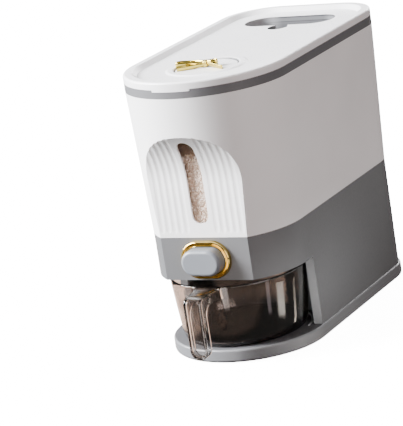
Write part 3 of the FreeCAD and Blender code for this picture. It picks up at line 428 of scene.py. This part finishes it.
def spin(profile, cx, cy, steps):
    """Closed body of revolution about the vertical at cx, cy from (radius, height) points."""
    verts, faces, rows = [], [], []
    for r, z in profile:
        if r < 1e-6:
            rows.append([len(verts)])
            verts.append((cx, cy, z))
        else:
            rows.append(list(range(len(verts), len(verts) + steps)))
            for k in range(steps):
                t = 2 * math.pi * k / steps
                verts.append((cx + r * math.cos(t), cy + r * math.sin(t), z))
    for a, b in zip(rows, rows[1:]):
        for k in range(steps):
            q = (k + 1) % steps
            if len(a) == 1:
                faces.append((a[0], b[k], b[q]))
            elif len(b) == 1:
                faces.append((a[k], b[0], a[q]))
            else:
                faces.append((a[k], b[k], b[q], a[q]))
    return verts, faces


def arc(cx, cz, r, a0, a1, n):
    return [(cx + r * math.cos(math.radians(a0 + (a1 - a0) * k / n)),
             cz + r * math.sin(math.radians(a0 + (a1 - a0) * k / n))) for k in range(n + 1)]


def union(target, tool):
    m = target.modifiers.new("join", "BOOLEAN")
    m.operation, m.object, m.solver = "UNION", tool, "EXACT"
    dg = bpy.context.evaluated_depsgraph_get()
    me = bpy.data.meshes.new_from_object(target.evaluated_get(dg))
    target.modifiers.clear()
    old = target.data
    target.data = me
    bpy.data.meshes.remove(old)
    bpy.data.objects.remove(tool)
    return target


def smooth_path(pts, per, closed=False):
    """Catmull-Rom points through pts."""
    p = [np.array(q, float) for q in pts]
    n = len(p)
    out = []
    spans = n if closed else n - 1
    for i in range(spans):
        a = p[(i - 1) % n] if closed or i > 0 else 2 * p[0] - p[1]
        b, c = p[i], p[(i + 1) % n]
        d = p[(i + 2) % n] if closed or i + 2 < n else 2 * p[-1] - p[-2]
        for k in range(per):
            t = k / per
            out.append(0.5 * (2 * b + (c - a) * t + (2 * a - 5 * b + 4 * c - d) * t ** 2
                              + (3 * b - a - 3 * c + d) * t ** 3))
    if not closed:
        out.append(p[-1])
    return out


def ribbon(pts, ups, height, thick, closed=False, square=3.2, sides=16):
    """Flat band swept along pts, its width along ups; height and thick may vary along it."""
    n = len(pts)
    verts, faces = [], []
    for i in range(n):
        a = pts[(i - 1) % n] if closed or i > 0 else pts[0]
        b = pts[(i + 1) % n] if closed or i + 1 < n else pts[-1]
        tan = (b - a) / np.linalg.norm(b - a)
        up = ups[i] - tan * np.dot(ups[i], tan)
        up /= np.linalg.norm(up)
        side = np.cross(tan, up)
        hh = height[i] if hasattr(height, "__len__") else height
        th = thick[i] if hasattr(thick, "__len__") else thick
        for k in range(sides):
            t = 2 * math.pi * (k + 0.5) / sides
            c, s_ = math.cos(t), math.sin(t)
            e = 2.0 / square
            u = math.copysign(abs(c) ** e, c) * hh * 0.5
            w = math.copysign(abs(s_) ** e, s_) * th * 0.5
            verts.append(pts[i] + up * u + side * w)
    spans = n if closed else n - 1
    for i in range(spans):
        j = (i + 1) % n
        for k in range(sides):
            q = (k + 1) % sides
            faces.append((i * sides + k, j * sides + k, j * sides + q, i * sides + q))
    if not closed:
        for row in (0, n - 1):
            c = len(verts)
            verts.append(sum(verts[row * sides:(row + 1) * sides]) / sides)
            for k in range(sides):
                faces.append((row * sides + k, row * sides + (k + 1) % sides, c))
    return verts, faces


def merge(parts):
    verts, faces = [], []
    for v, f in parts:
        n = len(verts)
        verts.extend(v)
        faces.extend(tuple(i + n for i in q) for q in f)
    return verts, faces


# ---------------------------------------------------------------- measuring cup
CUP_Y = -74.5


def cup_radius(z):
    t = (z - 15.6) / 65.9
    return 63.3 + 6.2 * t + 1.6 * t * (1 - t)


def handle_shape(x, y, z):
    qy, qz = -170.7 - y, z - 72.5
    f = np.where((qy > 0) & (qz > 0), np.hypot(qy, qz), np.maximum(qy, qz)) - 9.0
    py, pz = -158.6 - y, z - 58.6
    g = np.where((py > 0) & (pz > 0), np.hypot(py, pz), np.maximum(py, pz)) - 10.5
    t = np.clip((y + 167.0) / 30.0, 0, 1)
    w = 9.9 + 7.0 * t * t
    st = np.where(z < 27.4, np.hypot(x, z - 27.4) - 9.9, np.abs(x) - w)
    outer = smax(smax(f, st, 1.6), -g, 1.0)
    inner = smax(f + 2.3, st + 2.2, 1.5)
    h = smax(outer, -inner, 0.9)
    wall = np.hypot(x, y - CUP_Y) - cup_radius(z)
    return np.maximum(h, -(wall + 1.1))


outer_wall = [(float(cup_radius(z)), z) for z in (26, 34, 42, 50, 58, 66, 74, 79.5)]
bowl_line = [(0, 15.7), (30, 15.7)] + arc(57.6, 21.5, 5.8, -90, -8, 8) + outer_wall + \
    arc(68.3, 80.4, 1.1, 0, 180, 8) + [(r - 2.2, z) for r, z in reversed(outer_wall[:-1])] + \
    arc(56.2, 23.8, 5.5, 0, -90, 8) + [(30, 18.3), (0, 18.3)]
cup = solid("cup_smoked", *spin(bowl_line, 0, CUP_Y, 160), SMOKE)
grip = solid("cup_grip", *nets(handle_shape, (-18.6, -181.2, 16.0), (18.6, -134.0, 83.0), 0.75), SMOKE)
cup = union(cup, grip)
# the cup's floor faces get the painted-shade tint
cup.data.materials.append(SMOKE_FLOOR_PAINTED_SHADE)
for p in cup.data.polygons:
    p.use_smooth = True
    c = p.center * 1000
    if c.z < 21.6 and math.hypot(c.x, c.y - CUP_Y) < 63.0:
        p.material_index = 1
cup.data.set_sharp_from_angle(angle=math.radians(38))
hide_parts("measuring_cup")
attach(cup, "cup")

# ---------------------------------------------------------------- rice behind the window
g = Graph("rice")
b = g.principled(Roughness=0.55, IOR=1.45)
b.inputs["Subsurface Weight"].default_value = 0.1
b.inputs["Subsurface Radius"].default_value = (1.0, 0.8, 0.6)
b.inputs["Subsurface Scale"].default_value = 0.0015
# the darkest brown patches are painted shade in the gaps between grains; the lighter stops are the rice's own tone
g.link(g.ramp(g.noise(800.0, 2.0), ((0.27, lin(150, 122, 104)), (0.36, lin(206, 186, 170)), (0.50, lin(228, 214, 202)),
                                    (0.72, lin(242, 234, 226)))), b.inputs["Base Color"])
g.link(g.bump(g.noise(900.0, 2.0), 0.2, 0.1 * MM), b.inputs["Normal"])
RICE = g.mat
RICE_TOP = 213.0
_waves = [(random.uniform(0.03, 0.11), random.uniform(0, 6.28), random.uniform(0, 6.28)) for _ in range(7)]


def wave(x, y):
    return sum(0.7 * np.sin(k * (x * math.cos(a) + y * math.sin(a)) + b_) for k, a, b_ in _waves)


def facet_depth(y, z):
    """How far a point lies behind the front face of the hopper."""
    low = y + 135.0
    high = np.hypot(y + 207.0, z - 187.5) - 72.0
    return np.where(z > 187.5, high, low)


def rice_shape(x, y, z):
    ax = np.abs(x)
    half = 75.2 + (z - 130.6) * 0.0409
    plan = np.where(y < -72.5, np.hypot(x, y + 72.5) - half, ax - half)
    rear = (0.6 * (y + 60.0) - (z - 106.0)) / 1.166 + 1.2
    front = ((-90.0 - y) / 1.05 - (z - 106.0)) / 1.381 + 1.2
    side = ((ax - OUT_X) / 0.732 - (z - 106.0)) / 1.694 + 1.2
    d = smax(plan, 7.2 - facet_depth(y, z), 2.0)
    d = smax(d, smax(smax(rear, front, 3.0), side, 3.0), 3.0)
    d = smax(d, z - (RICE_TOP - 0.8 + wave(x, y)), 2.5)
    return smax(d, 113.0 - z, 2.0)


OUT_X = 30.0
heap = solid("rice_heap", *nets(rice_shape, (-84, -160, 110), (84, 132, 218), 3.0), RICE)
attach(heap, "housing")

ico = bmesh.new()
bmesh.ops.create_icosphere(ico, subdivisions=1, radius=0.5)
grain_v = np.array([v.co[:] for v in ico.verts])
grain_f = [tuple(v.index for v in f.verts) for f in ico.faces]
ico.free()
rng = np.random.default_rng(11)
parts = []
for k in range(620):
    z = rng.uniform(142.5, RICE_TOP + 0.6)
    x = rng.uniform(-10.6, 10.6)
    depth = 4.35 + 1.3 + rng.uniform(0, 1.0) ** 1.5 * 3.0
    if z > 187.5:
        yy = -207.0 + math.sqrt((72.0 + depth) ** 2 - (z - 187.5) ** 2)
    else:
        yy = -135.0 + depth
    size = np.array([rng.uniform(4.8, 6.2), rng.uniform(1.9, 2.3), rng.uniform(1.6, 2.0)])
    spin_a, tilt = rng.uniform(0, 6.28), rng.normal(0, 0.22)
    ca, sa = math.cos(spin_a), math.sin(spin_a)
    along = np.array([ca * math.cos(tilt), math.sin(tilt), sa * math.cos(tilt)])
    across = np.array([-sa, 0, ca])
    deep = np.cross(along, across)
    body_v = grain_v * size
    body_v[:, 0] *= 1 - 0.25 * np.abs(grain_v[:, 0]) * 0
    parts.append(([np.array([x, yy, z]) + q[0] * along + q[1] * across + q[2] * deep for q in body_v], grain_f))
grains = solid("rice_grains", *merge(parts), RICE)
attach(grains, "housing")

# ---------------------------------------------------------------- gold surround of the button
BZ, BX, BR = 108.0, 7.85, 13.75
ring_line = [(0.0, -1.8), (0.0, 2.0), (0.2, 2.9), (0.7, 3.3), (1.2, 2.9), (1.6, 2.0), (2.4, 1.5), (3.2, 1.9), (3.8, 3.1),
             (4.2, 4.2), (4.6, 4.55), (5.05, 4.3), (5.4, 3.4), (5.6, 1.8), (5.75, 0.5), (5.85, 0.02),
             (4.6, 0.02), (1.2, -0.2), (1.2, -1.8)]
verts, faces = [], []
loop = [(BX, BR, math.radians(-90 + 180 * k / 44)) for k in range(45)] + \
    [(-BX, BR, math.radians(90 + 180 * k / 44)) for k in range(45)]
m = len(ring_line)
for cx, r0, t in loop:
    for u, h in ring_line:
        verts.append((cx + (r0 + u) * math.cos(t), -135.0 - h, BZ + (r0 + u) * math.sin(t)))
for i in range(len(loop)):
    j = (i + 1) % len(loop)
    for k in range(m):
        q = (k + 1) % m
        faces.append((i * m + k, j * m + k, j * m + q, i * m + q))
surround = solid("button_surround", verts, faces, GOLD, sharp=50)
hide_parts("button_ring")
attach(surround, "housing")

# ---------------------------------------------------------------- return spring behind the button
SPRING_A, SPRING_B = -141.2, -118.6
coil, outward = [], []
for k in range(401):
    t = k / 400
    a = 2 * math.pi * 8.0 * t
    along = min(1.0, max(0.0, (t - 0.1) / 0.8))
    rad = np.array([math.cos(a), 0.0, math.sin(a)])
    coil.append(np.array([0.0, SPRING_A + 0.45 + (SPRING_B - SPRING_A - 0.9) * along, BZ]) + rad * 5.4)
    outward.append(rad)
spring = solid("return_spring", *ribbon(coil, outward, 0.9, 0.9, square=2.0, sides=10), SPRING)
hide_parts("button_spring")
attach(spring, "housing")
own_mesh(spring)

# ---------------------------------------------------------------- bow
up = np.array([0.0, 0.0, 1.0])
bow = []
left = smooth_path([(-1.0, -75.9, 292.3), (-9, -78.4, 292.3), (-20, -79.4, 292.3), (-29.5, -79.6, 292.3), (-32.0, -78.6, 292.3),
                    (-32.2, -74.2, 292.3), (-29.5, -72.8, 292.4), (-20, -72.6, 292.4), (-9, -73.6, 292.4)], 6, True)
bow.append(ribbon(left, [up] * len(left), 6.2, 1.5, True))
right_loop = smooth_path([(0.8, -75.7, 292.8), (4.5, -77.4, 293.0), (9.0, -77.8, 293.3), (12.2, -76.0, 293.6),
                          (11.6, -73.4, 293.6), (7.5, -72.8, 293.4), (3.5, -73.8, 293.0)], 6, True)
bow.append(ribbon(right_loop, [up] * len(right_loop), 5.6, 1.5, True))


def tail_band(pts, tilt, width):
    path = smooth_path(pts, 6)
    n = len(path)
    ups = [np.array([0.0, -math.sin(tilt), math.cos(tilt)]) for _ in path]
    w = [width * (0.62 + 0.38 * min(1.0, 3.0 * k / n)) for k in range(n)]
    return ribbon(path, ups, w, 1.5)


bow.append(tail_band([(0.8, -76.6, 292.4), (7, -79.6, 292.2), (14, -83.6, 291.8), (20.5, -87.6, 291.4), (25.2, -90.2, 291.5)],
                     0.3, 4.8))
bow.append(tail_band([(-0.8, -77.2, 291.6), (-7, -80.6, 291.2), (-13, -84.8, 290.9), (-19, -88.7, 290.9), (-24.7, -91.8, 291.2)],
                     0.3, 4.4))
bow_mesh = solid("bow_ribbons", *merge(bow), GOLD_BOW, sharp=60)
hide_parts("bow_loops")
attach(bow_mesh, "cap")


def knot_shape(x, y, z):
    dx, dy, dz = x / 2.7, (y + 76.0) / 3.6, (z - 292.6) / 3.7
    ball = ((np.abs(dx) ** 3 + np.abs(dy) ** 3 + np.abs(dz) ** 3) ** (1 / 3.0) - 1) * 2.9
    waist = 0.35 * np.exp(-((x - 0.6) / 0.55) ** 2) + 0.35 * np.exp(-((x + 0.9) / 0.5) ** 2)
    return ball + waist


knot = solid("bow_knot_wrap", *nets(knot_shape, (-4, -80.5, 288.5), (4, -70.5, 298.6), 0.4), GOLD_BOW)
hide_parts("bow_knot")
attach(knot, "cap")

# ---------------------------------------------------------------- stage
g = Graph("studio_floor")
b = g.principled(Roughness=0.7)
g.link(g.ramp(g.noise(3.0, 2.0), ((0.3, (0.86, 0.86, 0.865)), (0.7, (0.88, 0.88, 0.885)))), b.inputs["Base Color"])
b.inputs["Emission Color"].default_value = (1, 1, 1, 1)
b.inputs["Emission Strength"].default_value = FLOOR_GLOW
g.mat.cycles.emission_sampling = "NONE"
floor = mesh_object("studio_floor", [(-30, -30, 0), (30, -30, 0), (30, 30, 0), (-30, 30, 0)], [(0, 1, 2, 3)], g.mat)
floor.visible_diffuse = False
floor.visible_glossy = False
floor.visible_transmission = False

def card(name, grid, glow, colour, strength):
    """Reflector seen only in reflections; glow is its brightness over the grid of points."""
    nu, nv = len(grid), len(grid[0])
    verts = [p for row in grid for p in row]
    faces = [(i * nv + j, (i + 1) * nv + j, (i + 1) * nv + j + 1, i * nv + j + 1)
             for i in range(nu - 1) for j in range(nv - 1)
             if glow[i][j] + glow[i + 1][j] + glow[i][j + 1] + glow[i + 1][j + 1] > 0]
    g = Graph(name)
    b = g.principled(Roughness=1.0)
    b.inputs["Base Color"].default_value = (0, 0, 0, 1)
    b.inputs["Specular IOR Level"].default_value = 0.0
    b.inputs["Emission Color"].default_value = (*colour, 1)
    at = g.new("ShaderNodeAttribute")
    at.attribute_name = "glow"
    mul = g.new("ShaderNodeMath", operation="MULTIPLY")
    mul.inputs[1].default_value = strength
    g.link(at.outputs["Fac"], mul.inputs[0])
    g.link(mul.outputs["Value"], b.inputs["Emission Strength"])
    g.mat.cycles.emission_sampling = "NONE"
    o = mesh_object(name, verts, faces, g.mat)
    layer = o.data.attributes.new("glow", "FLOAT", "POINT")
    layer.data.foreach_set("value", [float(x) for row in glow for x in row])
    o.visible_camera = False
    o.visible_diffuse = False
    o.visible_shadow = False
    o.visible_transmission = False
    return o


def edge(t, w):
    """Soft edge: 0 at both ends of 0..1, full in the middle."""
    d = min(t, 1 - t) / w
    return 1.0 if d >= 1 else d * d * (3 - 2 * d)


def round_card(name, azimuth, span, z0, z1, colour, strength, low=1.0, high=1.0, soft=0.3, dist=0.40):
    """Upright strip that faces the cup's axis; azimuth in degrees from -Y towards +X.
    low and high are its brightness at the lower and the upper end."""
    grid, glow = [], []
    for i in range(13):
        u = i / 12
        t = math.radians(azimuth + span * (u - 0.5))
        row, bright = [], []
        for j in range(17):
            v = j / 16
            row.append((dist * math.sin(t), CUP_Y * MM - dist * math.cos(t), z0 + (z1 - z0) * v))
            base = low + (high - low) * min(1.0, v * 1.6)
            bright.append(base * edge(u, soft) * min(1.0, v / 0.08))
        grid.append(row)
        glow.append(bright)
    return card(name, grid, glow, colour, strength)


round_card("strip_right", 93.5, 19, -0.138, 0.02, (1.0, 0.92, 0.82), 10.5, 1.0, 0.22)
round_card("strip_front_right", 71, 9, -0.133, 0.02, (1.0, 0.86, 0.88), 3.0, 0.8, 0.6)
round_card("strip_rear_right", 125, 7, -0.211, 0.00, (1.0, 0.88, 0.74), 13.0, 1.0, 0.15)
round_card("strip_left", -6, 28, -0.115, 0.30, (1.0, 0.90, 0.85), 6.0, 1.0, 1.0, 0.08)
round_card("strip_far_left", -46, 12, -0.110, 0.30, (1.0, 0.90, 0.84), 6.0, 1.0, 0.8, 0.1)
round_card("warm_left", -140, 60, -0.35, 0.10, (1.0, 0.72, 0.55), 4.0, 1.0, 0.6)
xs = [0.08 + 0.03 * i for i in range(20)]
ys = [-0.62 + 0.04 * j for j in range(36)]


def sheen(i, j):
    clear_of_cup = min(1.0, max(0.0, (math.hypot(xs[i], ys[j] - CUP_Y * MM) - 0.26) / 0.06))
    beside = min(1.0, max(0.0, (xs[i] - 0.22) / 0.08)) if ys[j] > -0.12 else 1.0
    return min(1.0, (19 - i) / 4) * edge(j / 35, 0.15) * clear_of_cup * beside


card("sheen_right", [[(x, y, 0.001) for y in ys] for x in xs],
     [[sheen(i, j) for j in range(36)] for i in range(20)], (1.0, 1.0, 0.99), 1.85)


# what the clear cup shows through its walls: a dimmer, warm floor, brightest on the left
xs = [-4.0, -1.5, -0.6] + [-0.40 + 0.015 * i for i in range(25)] + [0.02, 0.06, 0.12, 0.3, 1.0]
ys = [-4.0, -1.5, -0.7, -0.45, -0.36, -0.28, -0.22, -0.19, -0.165, -0.12] + [-0.09 + 0.02 * i for i in range(26)] + [0.8, 1.5, 4.0]


def through(x, y):
    left = min(1.0, max(0.0, (-0.07 - x) / 0.02)) * (1.0 if y > -0.3 else 0.6)
    front = 0.22 if y < -0.17 else 0.0
    patchy = 0.82 + 0.26 * math.sin(62 * x + 31 * y + 0.6) + 0.12 * math.sin(118 * x - 47 * y)
    return max(left * patchy, front)


seen = card("seen_through", [[(x, y, -0.002) for y in ys] for x in xs], [[through(x, y) for y in ys] for x in xs],
            (1.0, 0.73, 0.60), 4.0)
seen.visible_transmission = True
seen.visible_glossy = False


def look(o, at):
    o.rotation_mode = "QUATERNION"
    o.rotation_quaternion = (Vector(at) - o.location).to_track_quat("-Z", "Y")


def area(name, loc, at, sx, sy, power, colour=(1, 1, 1), spread=180.0):
    l = bpy.data.lights.new(name, "AREA")
    l.shape = "RECTANGLE"
    l.size, l.size_y = sx, sy
    l.energy = power
    l.color = colour
    l.spread = math.radians(spread)
    o = bpy.data.objects.new(name, l)
    SCENE.collection.objects.link(o)
    o.location = loc
    look(o, at)
    o.visible_camera = False
    return o


world = bpy.data.worlds.new("studio")
SCENE.world = world
world.use_nodes = True
bg = world.node_tree.nodes["Background"]
bg.inputs["Color"].default_value = (1.0, 0.95, 0.93, 1)
bg.inputs["Strength"].default_value = 0.14

area("key", (-2.12, -1.27, 1.69), (0, -0.05, 0.14), 1.25, 1.25, 620, (0.985, 0.985, 1.0))
area("top", (-0.3, 0.3, 2.2), (0, 0, 0.2), 1.6, 1.6, 24, (0.98, 0.985, 1.0))
area("left_kick", (-2.45, -0.55, 0.95), (0, -0.05, 0.16), 1.0, 1.0, 150, (0.985, 0.985, 1.0))
area("warm_side", (2.1, -1.15, 0.75), (0, 0, 0.15), 1.6, 1.6, 39, (1.0, 0.86, 0.835))

bay = bpy.data.lights.new("bay_fill", "SPOT")
bay.energy, bay.color, bay.shadow_soft_size = 520.0, (1.0, 1.0, 0.97), 0.045
bay.spot_size, bay.spot_blend = math.radians(3.3), 1.0
bay_lamp = bpy.data.objects.new("bay_fill", bay)
SCENE.collection.objects.link(bay_lamp)
bay_lamp.location = (1.05, -2.05, 0.12)
look(bay_lamp, (0.080, -0.055, 0.052))

area("rear_fill", (-0.2, 2.7, 0.95), (0, 0.1, 0.15), 1.4, 1.4, 75, (0.99, 0.99, 1.0))

# ---------------------------------------------------------------- camera
cam_data = bpy.data.cameras.new("camera")
cam = bpy.data.objects.new("camera", cam_data)
SCENE.collection.objects.link(cam)
SCENE.camera = cam
yaw, pitch, roll = (math.radians(a) for a in (29.317, 14.66, -8.926))
fwd = Vector((-math.sin(yaw) * math.cos(pitch), math.cos(yaw) * math.cos(pitch), -math.sin(pitch)))
right = fwd.cross(Vector((0, 0, 1))).normalized()
up = right.cross(fwd)
r2 = right * math.cos(roll) + up * math.sin(roll)
u2 = -right * math.sin(roll) + up * math.cos(roll)
cam.matrix_world = Matrix(((r2.x, u2.x, -fwd.x, 1.209657), (r2.y, u2.y, -fwd.y, -2.285274),
                           (r2.z, u2.z, -fwd.z, 0.800987), (0, 0, 0, 1)))
cam_data.sensor_fit = "AUTO"
cam_data.sensor_width = 36.0
cam_data.lens = 219.24
cam_data.clip_start, cam_data.clip_end = 0.05, 60.0
